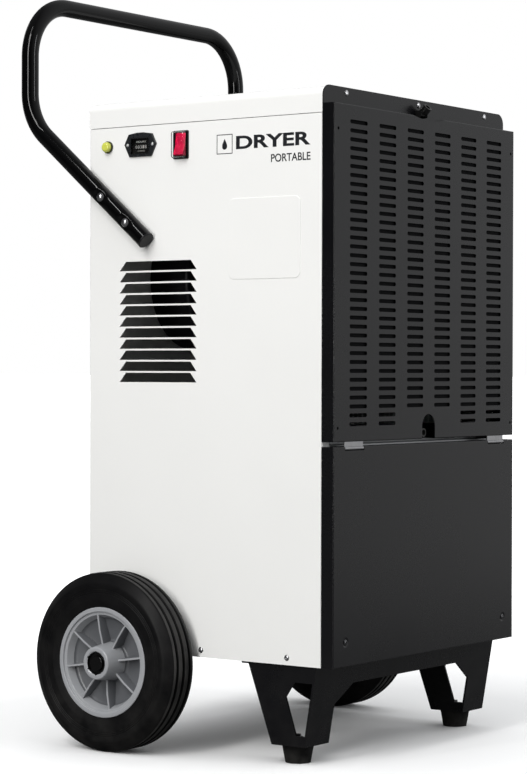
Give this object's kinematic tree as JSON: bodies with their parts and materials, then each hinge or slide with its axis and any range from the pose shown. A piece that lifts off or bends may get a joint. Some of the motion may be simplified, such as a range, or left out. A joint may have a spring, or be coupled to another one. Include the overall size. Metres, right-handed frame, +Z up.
{
  "type": "dehumidifier",
  "caption": "Portable commercial dehumidifier: white steel cabinet, black slotted air-inlet door, tubular push handle, rear wheels, front foot bracket and side controls.",
  "frame": {"origin": "on the floor, under the centre of the whole object's box", "axes": "+Z up, -Y out of the black air-inlet front, -X out of the side with the switch and hour meter"},
  "size_m": [0.6352, 0.541, 1.0795],
  "materials": {
    "housing_white": "satin powder coat",
    "cover_black": "satin powder coat",
    "handle_black": "gloss enamel",
    "moulded_black": "moulded",
    "motor_black": "satin enamel",
    "rim_grey": "moulded",
    "tyre": "moulded rubber",
    "rubber": "moulded",
    "bright_steel": "zinc plated",
    "dark_steel": "black zinc",
    "galvanised": "galvanised",
    "switch_red": "translucent gloss",
    "clear_plastic": "clear gloss",
    "lens_green": "translucent gloss",
    "lamp_olive": "moulded",
    "meter_grey": "moulded",
    "meter_face": "printed",
    "fin_aluminium": "mill",
    "copper": "drawn",
    "filter_mat": "open mat",
    "spout_plastic": "moulded"
  },
  "bodies": {
    "cabinet": {"left_side_panel": "housing_white", "right_side_panel": "housing_white", "rear_panel": "housing_white", "top_cover": "housing_white", "base_pan": "housing_white", "front_frame": "cover_black", "lower_front_cover": "cover_black", "foot_bracket": "cover_black", "axle_brackets": "cover_black", "handle_tube": "handle_black", "latch_bracket": "moulded_black", "handle_end_plugs": "moulded_black", "axle_caps": "moulded_black", "switch_body": "moulded_black", "cable_gland": "moulded_black", "fan_ring": "moulded_black", "electrical_box": "moulded_black", "fan_motor": "motor_black", "compressor_shell": "motor_black", "fan_guard": "motor_black", "rubber_feet": "rubber", "compressor_grommets": "rubber", "flange_screws": "bright_steel", "panel_screws": "bright_steel", "foot_bolts": "bright_steel", "foot_nuts": "bright_steel", "handle_bolts": "bright_steel", "handle_nuts": "bright_steel", "hour_meter_screws": "bright_steel", "door_hinge_pins": "bright_steel", "axle": "bright_steel", "switch_pivot": "bright_steel", "cover_screws": "dark_steel", "mid_shelf": "galvanised", "drip_tray": "galvanised", "switch_boot": "clear_plastic", "hour_meter_window": "clear_plastic", "indicator_lens": "lens_green", "indicator_body": "lamp_olive", "hour_meter_body": "meter_grey", "hour_meter_face": "meter_face", "evaporator_fins": "fin_aluminium", "condenser_fins": "fin_aluminium", "evaporator_tubes": "copper", "condenser_tubes": "copper", "refrigerant_pipes": "copper", "drain_spout": "spout_plastic"},
    "door": {"filter_door": "cover_black", "door_hinge_tabs": "bright_steel", "air_filter": "filter_mat"},
    "latch": {"latch_knob": "moulded_black"},
    "rocker": {"switch_rocker": "switch_red"},
    "fan": {"fan_blade": "moulded_black", "fan_shaft": "bright_steel"},
    "wheel_left": {"wheel_rim_left": "rim_grey", "tyre_left": "tyre", "wheel_bearings_left": "bright_steel"},
    "wheel_right": {"wheel_rim_right": "rim_grey", "tyre_right": "tyre", "wheel_bearings_right": "bright_steel"}
  },
  "joints": [
    {"name": "door_hinge", "type": "hinge", "parent": "cabinet", "child": "door", "pos_m": [0, -0.266, 0.4279], "axis": [1, 0, 0], "range_deg": [0, 75]},
    {"name": "latch_lift", "type": "hinge", "parent": "cabinet", "child": "latch", "pos_m": [0, -0.256, 0.894], "axis": [-1, 0, 0], "range_deg": [0, 25]},
    {"name": "rocker_tilt", "type": "hinge", "parent": "cabinet", "child": "rocker", "pos_m": [-0.236, -0.01075, 0.84575], "axis": [0, -1, 0], "range_deg": [0, 24]},
    {"name": "fan_spin", "type": "hinge", "parent": "cabinet", "child": "fan", "pos_m": [0, 0.1195, 0.665], "axis": [0, 1, 0], "continuous": true},
    {"name": "wheel_left_spin", "type": "hinge", "parent": "cabinet", "child": "wheel_left", "pos_m": [-0.28, 0.0758, 0.125], "axis": [1, 0, 0], "continuous": true},
    {"name": "wheel_right_spin", "type": "hinge", "parent": "cabinet", "child": "wheel_right", "pos_m": [0.28, 0.0758, 0.125], "axis": [1, 0, 0], "continuous": true}
  ]
}
